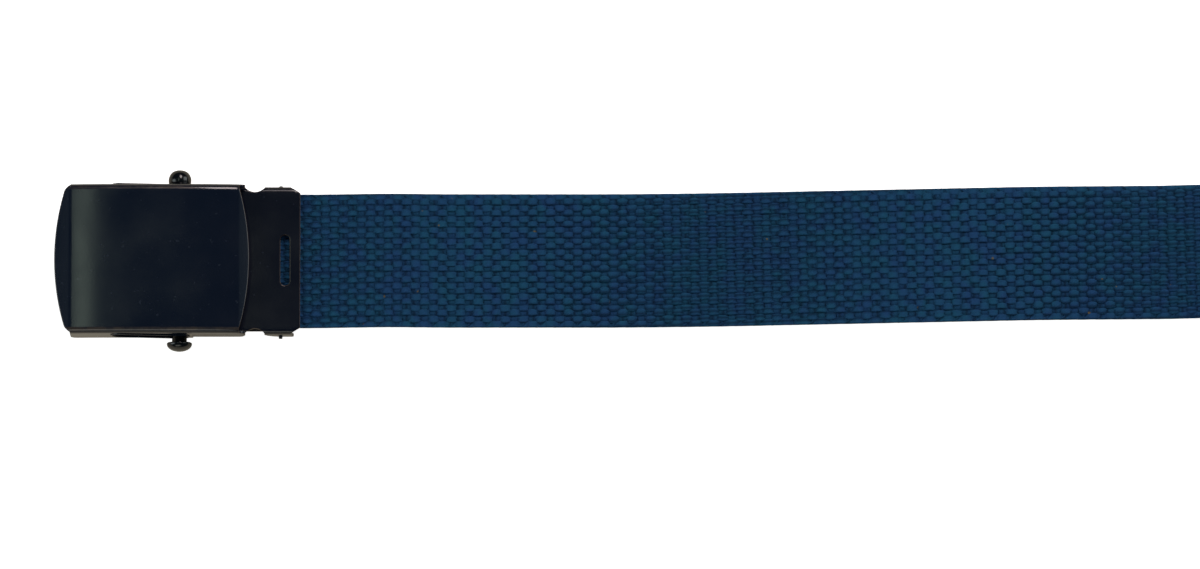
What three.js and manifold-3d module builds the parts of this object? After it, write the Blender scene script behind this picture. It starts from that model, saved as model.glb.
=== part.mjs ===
// A canvas web belt with a roller-bar box buckle, unfastened and lying flat with its face up.
// Millimetres. X runs along the belt from the buckle to the tip, Y runs across it, and Z is up.
// The sizes below are set in a frame whose X starts at the buckle's front edge, and the finished
// belt is moved at the end so that the origin is at the bottom centre of the whole.
import * as THREE from 'three';
import { mergeVertices } from 'three/addons/utils/BufferGeometryUtils.js';
import Module from 'manifold-3d';

const wasm = await Module();
wasm.setup();

// Webbing
const webWidth = 31.75;
const webThickness = 1.9;
const webEdgeRadius = 0.6;
const webShownLength = 215;
const webHeldLength = 20;
const webDropLength = 38;
const webRiseLength = 14;
const bowAngle = 1.19;
const bowStart = 66;
const bowLength = 40;

// Clearances
const gap = 0.3;
const webGap = 0.25;
const webSideGap = 0.725;

// Face cover: a curved plate with bent-down side walls
const sheet = 0.8;
const coverLength = 46;
const coverOverhang = 0.1;
const coverFrontBulge = 2.9;
const coverRearBulge = 2.6;
const coverCrown = 1.1;
const coverBend = 1;
const coverCornerRadius = 3;
const strapPassage = 2.4;

// Slanted slots of the roller bar, each with a pressed-out lip
const barFromFront = 29.5;
const barLift = 0.15;
const slotRun = 13.7;
const gripGap = 0.6;
const slotLipWidth = 0.6;
const slotLipHeight = 0.35;

// Roller bar: a fluted roller, two necks, a ball head and a mushroom head
const rollerRadius = 2.5;
const rollerEndPlay = 1.2;
const fluteCount = 22;
const fluteDepth = 0.35;
const neckRadius = 1.75;
const ballRadius = 2.7;
const ballLength = 3.55;
const ballSeatShare = 0.3;
const capRadius = 2.97;
const capHeight = 2.1;
const capRimHeight = 0.35;

// Clip frame: a lower plate with cheeks under the cover, a window slot and two ears
const clipReach = 11.95;
const clipBend = 0.9;
const clipSetback = 1;
const clipFoot = 0.35;
const cheekShortfall = 1;
const scallopLength = 4.5;
const scallopDepth = 1.3;
const earLength = 6.3;
const earLean = 0.6;
const cornerDrop = 1.6;
const windowFromEnd = 3.6;
const windowWidth = 2.15;
const windowLength = 12;

// Clamp lever: a hinged plate under the webbing, with a toothed knuckle and two pivot lugs
const pivotFromEnd = 4.65;
const pivotRadius = 0.45;
const pivotGap = 0.25;
const pivotEdge = 0.35;
const pivotProud = 0.75;
const knuckleRadius = 0.7;
const leverLength = 12.3;
const leverThickness = 0.7;
const leverCornerRadius = 3;
const toothCount = 15;
const toothDepth = 0.3;

// Tip: a pressed metal sleeve over the free end
const tipLength = 16;
const tipWall = 0.5;
const tipCornerRadius = 1.2;

// How finely the round shapes are cut
const barSides = 24;
const arcSteps = 4;
const curveSteps = 10;
const past = 1;

// Heights, from the surface up: lever, webbing, clip plate, strap passage, cover
const pivotHeight = clipFoot + pivotEdge + pivotRadius + pivotGap;
const webUnder = pivotHeight + knuckleRadius + webGap;
const plateUnder = webUnder + webThickness + webGap;
const plateTop = plateUnder + sheet;
const coverEdgeTop = plateTop + strapPassage + sheet;
const coverTop = coverEdgeTop + coverCrown;

// Places along X
const clipEnd = coverLength + clipReach;
const plateFront = barFromFront + rollerRadius + clipSetback;
const cheekEnd = coverLength - cheekShortfall;
const earStart = cheekEnd + scallopLength;
const earEnd = earStart + earLength;
const pivotX = clipEnd - pivotFromEnd;
const webStart = clipEnd - webHeldLength;
const tipMouth = clipEnd + webShownLength;

// Half widths: the clip passes the webbing between its cheeks, and the cover stands over the clip.
const webHalf = webWidth / 2;
const clipHalf = webHalf + webSideGap + sheet;
const coverHalf = clipHalf + coverOverhang;

// The cover's top is an arc over its length, as high at the front edge as at the rear.
const crownRadius = ((coverLength / 2) ** 2 + coverCrown ** 2) / (2 * coverCrown);
function coverTopAt(x) {
  const fromMiddle = x - coverLength / 2;
  return coverTop - crownRadius + Math.sqrt(crownRadius ** 2 - fromMiddle ** 2);
}

// The roller bar rests at the slot's low rear end and grips at its high front end.
const barRest = { x: barFromFront, z: Math.max(capRadius, rollerRadius) + barLift };
const barGripX = barFromFront - slotRun;
const barGrip = { x: barGripX, z: coverTopAt(barGripX) - sheet - gripGap - rollerRadius };

// Sheet metal, roller and webbing finishes
const blackPaint = new THREE.MeshStandardMaterial({ color: 0x121a22, roughness: 0.35, metalness: 0.4 });
const blackPaintInner = new THREE.MeshStandardMaterial({ color: 0x10161d, roughness: 0.4, metalness: 0.4 });
const blackBar = new THREE.MeshStandardMaterial({ color: 0x0d1218, roughness: 0.2, metalness: 0.5 });
const navyCotton = new THREE.MeshStandardMaterial({ color: 0x142e48, roughness: 0.95, metalness: 0 });

// A closed geometry as a solid that can be joined and cut.
function solidOf(geometry) {
  const bare = geometry.index ? geometry.toNonIndexed() : geometry.clone();
  bare.deleteAttribute('normal');
  bare.deleteAttribute('uv');
  const merged = mergeVertices(bare, 1e-5);
  const vertProperties = new Float32Array(merged.attributes.position.array);
  const triVerts = new Uint32Array(merged.index.array);
  return new wasm.Manifold(new wasm.Mesh({ numProp: 3, vertProperties, triVerts }));
}

// A solid as a named mesh with its own finish.
function meshOf(name, solid, material) {
  const cut = solid.getMesh();
  const geometry = new THREE.BufferGeometry();
  geometry.setAttribute('position', new THREE.BufferAttribute(new Float32Array(cut.vertProperties), 3));
  geometry.setIndex(new THREE.BufferAttribute(new Uint32Array(cut.triVerts), 1));
  geometry.computeVertexNormals();
  const mesh = new THREE.Mesh(geometry, material.clone());
  mesh.name = name;
  return mesh;
}

// A plan shape in X and Y, raised from one height to another.
function raised(shape, bottom, top) {
  const geometry = new THREE.ExtrudeGeometry(shape, {
    depth: top - bottom,
    bevelEnabled: false,
    curveSegments: curveSteps,
  });
  geometry.translate(0, 0, bottom);
  return solidOf(geometry);
}

// A side shape in X and Z, carried across from one Y to another.
function across(shape, fromY, toY) {
  const geometry = new THREE.ExtrudeGeometry(shape, {
    depth: toY - fromY,
    bevelEnabled: false,
    curveSegments: curveSteps,
  });
  geometry.rotateX(Math.PI / 2);
  geometry.translate(0, toY, 0);
  return solidOf(geometry);
}

// A closed skin over convex rings of equal length, each counter-clockwise seen from +X.
function loft(rings) {
  const count = rings[0].length;
  const positions = rings.flat().flatMap((point) => [point.x, point.y, point.z]);
  const faces = [];
  for (let r = 0; r + 1 < rings.length; r += 1) {
    for (let i = 0; i < count; i += 1) {
      const a = r * count + i;
      const b = r * count + ((i + 1) % count);
      faces.push(a, b, a + count);
      faces.push(b, b + count, a + count);
    }
  }
  const last = (rings.length - 1) * count;
  for (let i = 1; i + 1 < count; i += 1) {
    faces.push(0, i + 1, i);
    faces.push(last, last + i, last + i + 1);
  }
  const geometry = new THREE.BufferGeometry();
  geometry.setAttribute('position', new THREE.Float32BufferAttribute(positions, 3));
  geometry.setIndex(faces);
  return solidOf(geometry);
}

// Points of a quarter turn about a centre, from one angle on, both ends included.
function quarter(centreA, centreB, radius, startAngle) {
  const points = [];
  for (let i = 0; i <= arcSteps; i += 1) {
    const angle = startAngle + (Math.PI / 2) * (i / arcSteps);
    points.push([centreA + radius * Math.cos(angle), centreB + radius * Math.sin(angle)]);
  }
  return points;
}

// A block's section at X: square below and rounded along both upper edges.
function archRing(x, half, bottom, top, radius) {
  const section = [[-half, bottom], [half, bottom]];
  section.push(...quarter(half - radius, top - radius, radius, 0));
  section.push(...quarter(radius - half, top - radius, radius, Math.PI / 2));
  return section.map(([y, z]) => new THREE.Vector3(x, y, z));
}

// The shape of a slot with round ends between two points.
function slotShape(start, end, half) {
  const angle = Math.atan2(end.y - start.y, end.x - start.x);
  const quarterTurn = Math.PI / 2;
  const shape = new THREE.Shape();
  shape.absarc(end.x, end.y, half, angle - quarterTurn, angle + quarterTurn, false);
  shape.absarc(start.x, start.y, half, angle + quarterTurn, angle + 3 * quarterTurn, false);
  shape.closePath();
  return shape;
}

// A polygon's shape from pairs of numbers.
function polygon(points) {
  return new THREE.Shape(points.map(([a, b]) => new THREE.Vector2(a, b)));
}

// Face cover: an arched block, hollowed, trimmed to its bowed ends, slotted and lipped.
function makeFaceCover() {
  const outerRings = [];
  const innerRings = [];
  for (let i = 0; i <= curveSteps; i += 1) {
    const x = coverLength * (i / curveSteps);
    const top = coverTopAt(x);
    const reach = i === 0 ? -past : 0;
    const overrun = i === curveSteps ? past : 0;
    outerRings.push(archRing(x, coverHalf, 0, top, coverBend));
    const innerX = x + reach + overrun;
    innerRings.push(archRing(innerX, coverHalf - sheet, -past, top - sheet, coverBend - sheet));
  }
  const shell = loft(outerRings).subtract(loft(innerRings));

  const frontRadius = (coverHalf ** 2 + coverFrontBulge ** 2) / (2 * coverFrontBulge);
  const rearRadius = (coverHalf ** 2 + coverRearBulge ** 2) / (2 * coverRearBulge);
  const frontAngle = Math.asin(coverHalf / frontRadius);
  const rearAngle = Math.asin(coverHalf / rearRadius);
  const plan = new THREE.Shape();
  plan.absarc(coverLength - rearRadius, 0, rearRadius, -rearAngle, rearAngle, false);
  plan.absarc(frontRadius, 0, frontRadius, Math.PI - frontAngle, Math.PI + frontAngle, false);
  plan.closePath();

  const wallRearX = plateFront - gap;
  const shoulder = plateTop + gap;
  const innerHalf = coverHalf - sheet;
  const wallFrontX = frontRadius - Math.sqrt(frontRadius ** 2 - innerHalf ** 2);
  const side = new THREE.Shape();
  side.moveTo(-past, coverCornerRadius);
  side.lineTo(wallFrontX, coverCornerRadius);
  const cornerX = wallFrontX + coverCornerRadius;
  side.absarc(cornerX, coverCornerRadius, coverCornerRadius, Math.PI, 1.5 * Math.PI, false);
  side.lineTo(wallRearX, 0);
  side.lineTo(wallRearX, shoulder);
  side.lineTo(coverLength + past, shoulder);
  side.lineTo(coverLength + past, coverTop + past);
  side.lineTo(-past, coverTop + past);
  side.closePath();

  const grip = new THREE.Vector2(barGrip.x, barGrip.z);
  const rest = new THREE.Vector2(barRest.x, barRest.z);
  const slotHalf = neckRadius + gap;
  const lipShape = slotShape(grip, rest, slotHalf + slotLipWidth);
  const lipBack = coverHalf - sheet / 2;
  const lipFront = coverHalf + slotLipHeight;
  const slots = across(slotShape(grip, rest, slotHalf), -coverHalf - past, coverHalf + past);

  return shell
    .intersect(raised(plan, -past, coverTop + past))
    .intersect(across(side, -coverHalf - past, coverHalf + past))
    .add(across(lipShape, lipBack, lipFront))
    .add(across(lipShape, -lipFront, -lipBack))
    .subtract(slots);
}

// Clip frame: one bent plate, trimmed by its plan outline and by its side outline.
function makeClipFrame() {
  const stations = [plateFront, clipEnd];
  const outer = loft(stations.map((x) => archRing(x, clipHalf, clipFoot, plateTop, clipBend)));
  const innerStations = [plateFront - past, clipEnd + past];
  const innerHalf = clipHalf - sheet;
  const innerBend = clipBend - sheet;
  const inner = loft(innerStations.map((x) => archRing(x, innerHalf, -past, plateUnder, innerBend)));

  const scallopHalf = scallopLength / 2;
  const scallopRadius = (scallopHalf ** 2 + scallopDepth ** 2) / (2 * scallopDepth);
  const scallopX = cheekEnd + scallopHalf;
  const scallopY = clipHalf - scallopDepth + scallopRadius;
  const scallopAngle = Math.asin(scallopHalf / scallopRadius);
  const down = -Math.PI / 2;
  const plan = new THREE.Shape();
  plan.moveTo(plateFront, clipHalf);
  plan.lineTo(plateFront, -clipHalf);
  plan.absarc(scallopX, -scallopY, scallopRadius, -down + scallopAngle, -down - scallopAngle, true);
  plan.lineTo(earEnd, -clipHalf);
  plan.lineTo(clipEnd, cornerDrop - clipHalf);
  plan.lineTo(clipEnd, clipHalf - cornerDrop);
  plan.lineTo(earEnd, clipHalf);
  plan.absarc(scallopX, scallopY, scallopRadius, down + scallopAngle, down - scallopAngle, true);
  plan.closePath();

  const earDepth = plateTop - clipFoot;
  const side = new THREE.Shape();
  side.moveTo(plateFront, clipFoot);
  side.lineTo(cheekEnd - sheet, clipFoot);
  side.quadraticCurveTo(cheekEnd + sheet, clipFoot, scallopX, plateUnder);
  side.lineTo(earStart, plateUnder);
  side.quadraticCurveTo(earStart, clipFoot, earStart + earLength / 2, clipFoot);
  side.lineTo(earEnd + earLean - sheet, clipFoot);
  side.lineTo(earEnd + earLean, clipFoot + earDepth / 5);
  side.lineTo(earEnd, plateUnder);
  side.lineTo(clipEnd, plateUnder);
  side.lineTo(clipEnd, plateTop);
  side.lineTo(plateFront, plateTop);
  side.closePath();

  const windowX = clipEnd - windowFromEnd;
  const windowReach = (windowLength - windowWidth) / 2;
  const windowShape = slotShape(
    new THREE.Vector2(windowX, -windowReach),
    new THREE.Vector2(windowX, windowReach),
    windowWidth / 2,
  );
  const pivotHole = new THREE.Shape();
  pivotHole.absarc(pivotX, pivotHeight, pivotRadius + pivotGap, 0, 2 * Math.PI, false);

  return outer
    .subtract(inner)
    .intersect(raised(plan, -past, plateTop + past))
    .intersect(across(side, -clipHalf - past, clipHalf + past))
    .subtract(raised(windowShape, plateUnder - past, plateTop + past))
    .subtract(across(pivotHole, -clipHalf - past, clipHalf + past));
}

// Roller bar: necks and heads turned as one profile, and a fluted roller between the walls.
function makeRollerBar() {
  const innerWall = coverHalf - sheet;
  const lipFace = coverHalf + slotLipHeight;
  const ballSeat = lipFace + gap;
  const capSeat = -(ballSeat + rollerEndPlay);
  const rollerLow = gap - innerWall;
  const rollerHigh = innerWall - gap - rollerEndPlay;

  const profile = [];
  const capDome = capHeight - capRimHeight;
  const capRim = capSeat - capRimHeight;
  for (let i = 0; i <= curveSteps / 2; i += 1) {
    const angle = (Math.PI / 2) * (i / (curveSteps / 2));
    profile.push(new THREE.Vector2(capRadius * Math.sin(angle), capRim - capDome * Math.cos(angle)));
  }
  profile.push(new THREE.Vector2(capRadius, capSeat));
  profile.push(new THREE.Vector2(neckRadius, capSeat));
  profile.push(new THREE.Vector2(neckRadius, ballSeat));
  const ballDome = ballLength * (1 - ballSeatShare);
  const ballMiddle = ballSeat + ballLength * ballSeatShare;
  const seatAngle = Math.asin((ballMiddle - ballSeat) / ballDome);
  const sweep = Math.PI / 2 + seatAngle;
  for (let i = 0; i <= curveSteps; i += 1) {
    const angle = sweep * (i / curveSteps) - seatAngle;
    const radius = i === curveSteps ? 0 : ballRadius * Math.cos(angle);
    profile.push(new THREE.Vector2(radius, ballMiddle + ballDome * Math.sin(angle)));
  }
  profile[0].x = 0;
  const turned = solidOf(new THREE.LatheGeometry(profile, barSides));

  const star = [];
  for (let i = 0; i < 2 * fluteCount; i += 1) {
    const angle = (Math.PI * i) / fluteCount;
    const radius = i % 2 === 0 ? rollerRadius : rollerRadius - fluteDepth;
    star.push([radius * Math.cos(angle), radius * Math.sin(angle)]);
  }
  const roller = across(polygon(star), rollerLow, rollerHigh);
  return turned.add(roller).translate([barRest.x, 0, barRest.z]);
}

// Clamp lever: a round-cornered plate, a knuckle with V-shaped teeth, and the pivot lugs.
function makeClampLever() {
  const half = clipHalf - sheet - gap;
  const front = pivotX - leverLength;
  const plan = new THREE.Shape();
  plan.moveTo(pivotX, -half);
  plan.lineTo(pivotX, half);
  plan.absarc(front + leverCornerRadius, half - leverCornerRadius, leverCornerRadius,
    Math.PI / 2, Math.PI, false);
  plan.absarc(front + leverCornerRadius, leverCornerRadius - half, leverCornerRadius,
    Math.PI, 1.5 * Math.PI, false);
  plan.closePath();
  const plate = raised(plan, clipFoot, clipFoot + leverThickness);

  const knuckle = new THREE.Shape();
  knuckle.absarc(pivotX, pivotHeight, knuckleRadius, 0, 2 * Math.PI, false);
  const lug = new THREE.Shape();
  lug.absarc(pivotX, pivotHeight, pivotRadius, 0, 2 * Math.PI, false);
  const lugReach = clipHalf + pivotProud;
  let lever = plate.add(across(knuckle, -half, half));

  const pitch = (2 * half) / toothCount;
  const notchTop = pivotHeight + knuckleRadius + past;
  const notchLow = pivotHeight + knuckleRadius - toothDepth;
  const notchHalf = (pitch / 4) * ((past + toothDepth) / toothDepth);
  for (let i = 1; i < toothCount; i += 1) {
    const middle = i * pitch - half;
    const profile = polygon([
      [middle, notchLow],
      [middle + notchHalf, notchTop],
      [middle - notchHalf, notchTop],
    ]);
    const geometry = new THREE.ExtrudeGeometry(profile, { depth: 4 * knuckleRadius, bevelEnabled: false });
    geometry.applyMatrix4(new THREE.Matrix4().set(
      0, 0, 1, pivotX - 2 * knuckleRadius,
      1, 0, 0, 0,
      0, 1, 0, 0,
      0, 0, 0, 1,
    ));
    lever = lever.subtract(solidOf(geometry));
  }
  return lever.add(across(lug, -lugReach, lugReach));
}

// How far a smooth step has risen at a share of its length.
function smoothStep(share) {
  const t = Math.min(Math.max(share, 0), 1);
  return t * t * (3 - 2 * t);
}

// The webbing's underside: level in the clip, down to the surface, and up again into the tip.
function webUnderAt(x) {
  const drop = smoothStep((x - clipEnd) / webDropLength);
  const rise = smoothStep((x - (tipMouth - webRiseLength)) / webRiseLength);
  return webUnder * (1 - drop) + (tipWall + gap) * rise;
}

// The webbing's sideways bow: straight, then a short even bend, then straight again.
const bowSlope = Math.tan(THREE.MathUtils.degToRad(bowAngle));
function bowAt(x) {
  const into = x - (clipEnd + bowStart);
  if (into <= 0) return 0;
  if (into < bowLength) return (bowSlope * into ** 2) / (2 * bowLength);
  return bowSlope * (into - bowLength / 2);
}

// Webbing: a strap section with softly rounded edges, carried along its route.
function makeWebbing() {
  const webEnd = tipMouth + tipLength - tipWall - gap;
  const section = [];
  const y = webHalf - webEdgeRadius;
  const z = webThickness / 2 - webEdgeRadius;
  section.push(...quarter(y, z, webEdgeRadius, 0));
  section.push(...quarter(-y, z, webEdgeRadius, Math.PI / 2));
  section.push(...quarter(-y, -z, webEdgeRadius, Math.PI));
  section.push(...quarter(y, -z, webEdgeRadius, 1.5 * Math.PI));

  const places = [webStart];
  for (let i = 0; i <= curveSteps; i += 1) {
    places.push(clipEnd + webDropLength * (i / curveSteps));
  }
  for (let i = 0; i <= curveSteps; i += 1) {
    places.push(clipEnd + bowStart + bowLength * (i / curveSteps));
  }
  for (let i = 0; i <= curveSteps; i += 1) {
    places.push(tipMouth - webRiseLength * (1 - i / curveSteps));
  }
  places.push(webEnd);

  const rings = places.map((x) => {
    const turn = Math.atan((bowAt(x + past) - bowAt(x - past)) / (2 * past));
    const middle = webUnderAt(x) + webThickness / 2;
    return section.map(([side, up]) => new THREE.Vector3(
      x - side * Math.sin(turn),
      bowAt(x) + side * Math.cos(turn),
      middle + up,
    ));
  });
  return loft(rings);
}

// A ring of a rounded rectangle at X.
function sleeveRing(x, half, bottom, top, radius) {
  const section = [];
  section.push(...quarter(half - radius, top - radius, radius, 0));
  section.push(...quarter(radius - half, top - radius, radius, Math.PI / 2));
  section.push(...quarter(radius - half, bottom + radius, radius, Math.PI));
  section.push(...quarter(half - radius, bottom + radius, radius, 1.5 * Math.PI));
  return section.map(([y, z]) => new THREE.Vector3(x, y, z));
}

// Tip: a sleeve closed at its far end, in line with the end of the webbing.
function makeEndTip() {
  const pocketHalf = webHalf + gap;
  const pocketTop = tipWall + webThickness + 2 * gap;
  const half = pocketHalf + tipWall;
  const top = pocketTop + tipWall;
  const edge = webEdgeRadius + gap;
  const outer = loft([0, tipLength].map((x) => sleeveRing(x, half, 0, top, edge + tipWall)));
  const pocketEnd = tipLength - tipWall;
  const pocket = loft([-past, pocketEnd].map((x) => sleeveRing(x, pocketHalf, tipWall, pocketTop, edge)));
  const plan = new THREE.Shape();
  plan.moveTo(0, half);
  plan.lineTo(0, -half);
  plan.absarc(tipLength - tipCornerRadius, tipCornerRadius - half, tipCornerRadius,
    1.5 * Math.PI, 2 * Math.PI, false);
  plan.absarc(tipLength - tipCornerRadius, half - tipCornerRadius, tipCornerRadius,
    0, Math.PI / 2, false);
  plan.closePath();
  return outer
    .subtract(pocket)
    .intersect(raised(plan, -past, top + past))
    .rotate([0, 0, bowAngle])
    .translate([tipMouth, bowAt(tipMouth), 0]);
}

const belt = new THREE.Group();
belt.add(meshOf('face_cover', makeFaceCover(), blackPaint));
belt.add(meshOf('clip_frame', makeClipFrame(), blackPaintInner));
belt.add(meshOf('roller_bar', makeRollerBar(), blackBar));
belt.add(meshOf('clamp_lever', makeClampLever(), blackPaintInner));
belt.add(meshOf('webbing', makeWebbing(), navyCotton));
belt.add(meshOf('end_tip', makeEndTip(), blackPaint));

// The origin goes to the bottom centre of the finished belt.
const box = new THREE.Box3().setFromObject(belt, true);
const centre = box.getCenter(new THREE.Vector3());
belt.position.set(-centre.x, -centre.y, -box.min.z);
belt.updateMatrixWorld(true);

export default belt;
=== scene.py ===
# %% [markdown]
# A web belt lies on a table with its box buckle to the left. The plain model of it is
# ready: six solids with their true sizes and places. This lesson keeps those places and
# makes each surface fine enough to be seen close: folded steel sheet with soft edges, a
# turned roller bar, and a strap that is really woven, yarn by yarn.

# %% Load the plain belt as a fixed frame
from math import pi, radians, tan

import bpy
import numpy as np
from mathutils import Matrix, Vector
from mathutils.geometry import delaunay_2d_cdt


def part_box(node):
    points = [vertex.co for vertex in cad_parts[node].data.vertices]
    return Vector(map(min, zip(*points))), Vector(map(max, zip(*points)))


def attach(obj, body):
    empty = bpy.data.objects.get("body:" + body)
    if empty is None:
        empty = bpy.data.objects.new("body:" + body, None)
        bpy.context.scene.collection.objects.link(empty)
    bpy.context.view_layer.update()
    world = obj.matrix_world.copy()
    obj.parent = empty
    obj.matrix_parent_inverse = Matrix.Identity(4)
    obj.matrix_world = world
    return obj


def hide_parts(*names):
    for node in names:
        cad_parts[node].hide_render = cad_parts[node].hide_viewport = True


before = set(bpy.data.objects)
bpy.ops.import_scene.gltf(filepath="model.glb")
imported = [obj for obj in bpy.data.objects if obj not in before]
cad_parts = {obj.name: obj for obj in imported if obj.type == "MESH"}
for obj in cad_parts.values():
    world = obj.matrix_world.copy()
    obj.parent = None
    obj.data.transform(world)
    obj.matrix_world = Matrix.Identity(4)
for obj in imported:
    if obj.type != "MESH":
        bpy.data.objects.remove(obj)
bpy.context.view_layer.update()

scene = bpy.context.scene
random = np.random.default_rng(7)

# %% [markdown]
# Lengths below are in millimetres, in a frame that starts at the front edge of the
# buckle and at the middle line of the strap. One function moves such points into the
# belt's own frame, in metres. The places come from the boxes of the plain solids, so
# the fine pieces land where the plain ones are.

# %% Places and sizes of the plain belt
MM = 0.001
cover_low, cover_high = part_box("face_cover")
clip_low, clip_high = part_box("clip_frame")
bar_low, bar_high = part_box("roller_bar")
web_low, web_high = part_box("webbing")

front_x = cover_low.x / MM
middle_y = (cover_low.y + cover_high.y) / 2 / MM
cover_length = (cover_high.x - cover_low.x) / MM
cover_top = cover_high.z / MM
# how far the fine clip and cover stand out beyond the solids, and the clip reaches further forward
clip_proud = 0.15
cover_proud = 0.2
clip_tuck = 0.4
clip_half = (clip_high.y - clip_low.y) / 2 / MM + clip_proud
cover_half = clip_half + cover_proud
clip_start = clip_low.x / MM - front_x - clip_tuck
clip_end = clip_high.x / MM - front_x
clip_foot = clip_low.z / MM
clip_top = clip_high.z / MM
sheet_thickness = 0.8


def in_belt_frame(points):
    """Millimetres from the buckle's front edge and middle line, as metres in the belt's frame."""
    return (np.asarray(points, float) + [front_x, middle_y, 0]) * MM


print("cover", round(cover_length, 2), "mm long, clip ends at", round(clip_end, 2), "mm")

# %% [markdown]
# The camera comes first. It stands almost straight above the belt, eight degrees
# towards the near edge, and far away, so that lines stay nearly parallel. Its picture
# is 283 mm wide: the belt runs out of it to the right.

# %% Camera
view_elevation = radians(82)
view_distance = 3.6
picture_width = 0.2830
sensor_width = 36.0
picture_middle = [128.55, -5.03, 0.0]
view_centre = Vector(in_belt_frame(picture_middle))
towards_camera = Vector((0, -np.cos(view_elevation), np.sin(view_elevation)))

camera_data = bpy.data.cameras.new("camera")
camera_data.sensor_width = sensor_width
camera_data.lens = sensor_width * view_distance / picture_width
camera_data.clip_start = 0.01
camera_data.clip_end = 20
camera = bpy.data.objects.new("camera", camera_data)
camera.location = view_centre + towards_camera * view_distance
camera.rotation_euler = (-towards_camera).to_track_quat("-Z", "Y").to_euler()
scene.collection.objects.link(camera)
scene.camera = camera
print("camera lens", round(camera_data.lens, 1), "mm at", round(view_distance, 2), "m")

# %% [markdown]
# Every new piece goes through one helper. It takes points and sets of faces as whole
# arrays, and gives the mesh its smooth shading, its texture coordinates, a number for
# each point when asked, and the body that it rides on, and it hides the plain solid
# that it replaces.

# %% A mesh from arrays


def new_piece(name, points, face_sets, body, replaced=(), corner_uv=None, measure=None):
    """A smooth mesh from points in buckle millimetres and arrays of faces, one row a face.

    measure is a name and one number for each point, which the piece's material can read.
    """
    corners = np.concatenate([faces.ravel() for faces in face_sets])
    sizes = np.concatenate([np.full(len(faces), faces.shape[1]) for faces in face_sets])
    starts = np.cumsum(sizes) - sizes
    mesh = bpy.data.meshes.new(name)
    mesh.vertices.add(len(points))
    mesh.vertices.foreach_set("co", in_belt_frame(points).ravel())
    mesh.loops.add(len(corners))
    mesh.loops.foreach_set("vertex_index", corners.astype(np.int32))
    mesh.polygons.add(len(sizes))
    mesh.polygons.foreach_set("loop_start", starts.astype(np.int32))
    mesh.polygons.foreach_set("use_smooth", np.ones(len(sizes), bool))
    if corner_uv is not None:
        layer = mesh.uv_layers.new(name="yarn")
        layer.data.foreach_set("uv", corner_uv.ravel())
    if measure is not None:
        label, values = measure
        numbers = mesh.attributes.new(label, "FLOAT", "POINT").data
        numbers.foreach_set("value", np.asarray(values, np.float32))
    mesh.update(calc_edges=True)
    mesh.validate()
    piece = bpy.data.objects.new(name, mesh)
    scene.collection.objects.link(piece)
    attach(piece, body)
    if replaced:
        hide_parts(*replaced)
    print(name, "has", int((sizes - 2).sum()), "triangles")
    return piece


def grid_faces(rows, columns, wrap_columns=False):
    """Quads over a grid of points numbered row by row, outward when rows x columns points out."""
    across = columns if wrap_columns else columns - 1
    row, column = np.meshgrid(np.arange(rows - 1), np.arange(across), indexing="ij")
    here = row * columns + column
    beside = row * columns + (column + 1) % columns
    return np.stack([here, here + columns, beside + columns, beside], -1).reshape(-1, 4)


def capped_tube(rings, sides):
    """Faces of a tube whose points are numbered ring by ring, and a flat cap at each end."""
    first = np.arange(sides)[None, :]
    return [grid_faces(rings, sides, wrap_columns=True), first, first[:, ::-1] + (rings - 1) * sides]


def unit(vectors):
    """Vectors of length one: each is divided by its own length."""
    return vectors / np.linalg.norm(vectors, axis=-1, keepdims=True)


print("a grid of 3 by 4 points has", len(grid_faces(3, 4)), "faces")

# %% [markdown]
# The buckle's cover and its clip are pressed from flat steel sheet. A press shop cuts a
# flat blank to its outline, punches its holes, and folds it over along two straight
# lines. The same three steps work here: an outline is filled with triangles while it is
# still flat, and one formula then folds all its points at once. Holes keep their
# shape, and no face is squeezed at the folds, which a box with bevels can't promise.

# %% Inside an outline or not, and how near to its edge
shortest_edge = 0.000001


def loop_segments(loops):
    """Start and end points of all edges of some closed loops."""
    starts = np.concatenate(loops)
    ends = np.concatenate([np.roll(loop, -1, axis=0) for loop in loops])
    return starts, ends


def inside_loops(points, loops):
    """True where a line from the point towards +X crosses the loops an odd number of times."""
    start, end = loop_segments(loops)
    px, py = points[:, 0, None], points[:, 1, None]
    crosses = (start[:, 1] > py) != (end[:, 1] > py)
    rise = np.where(end[:, 1] == start[:, 1], 1.0, end[:, 1] - start[:, 1])
    meet = start[:, 0] + (py - start[:, 1]) * (end[:, 0] - start[:, 0]) / rise
    return (crosses & (px < meet)).sum(1) % 2 == 1


def distance_to_loops(points, loops):
    """Shortest distance from each point to the loops' edges."""
    start, end = loop_segments(loops)
    along = end - start
    length2 = np.maximum((along ** 2).sum(1), shortest_edge ** 2)
    share = ((points[:, None] - start) * along).sum(2) / length2
    nearest = start + np.clip(share, 0, 1)[..., None] * along
    return np.linalg.norm(points[:, None] - nearest, axis=2).min(1)


unit_square = np.array([[0.0, 0.0], [1.0, 0.0], [1.0, 1.0], [0.0, 1.0]])
square_middle = unit_square.mean(0, keepdims=True)
print("a square's middle is", distance_to_loops(square_middle, [unit_square])[0], "from its edge")

# %% [markdown]
# The triangles have to be even along the edges, or the light breaks up on the rounded
# rims. So one strip of points follows each edge at a fixed distance, a grid of points
# fills what is left, and Delaunay's method joins them all with well-shaped triangles.

# %% Filling a flat outline with triangles
outline_step = 0.6
strip_room = 0.9
grid_room = 1.7
smallest_triangle = 0.002
same_point = 0.000001


def edge_strip(loops, margin):
    """Points one margin inside all edges, each square to its own edge point."""
    found = []
    for loop in loops:
        ahead = unit(np.roll(loop, -1, axis=0) - np.roll(loop, 1, axis=0))
        square = np.stack([-ahead[:, 1], ahead[:, 0]], 1) * margin
        found += [loop + square, loop - square]
    found = np.concatenate(found)
    found = found[inside_loops(found, loops)]
    return found[distance_to_loops(found, loops) > margin * strip_room]


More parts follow.
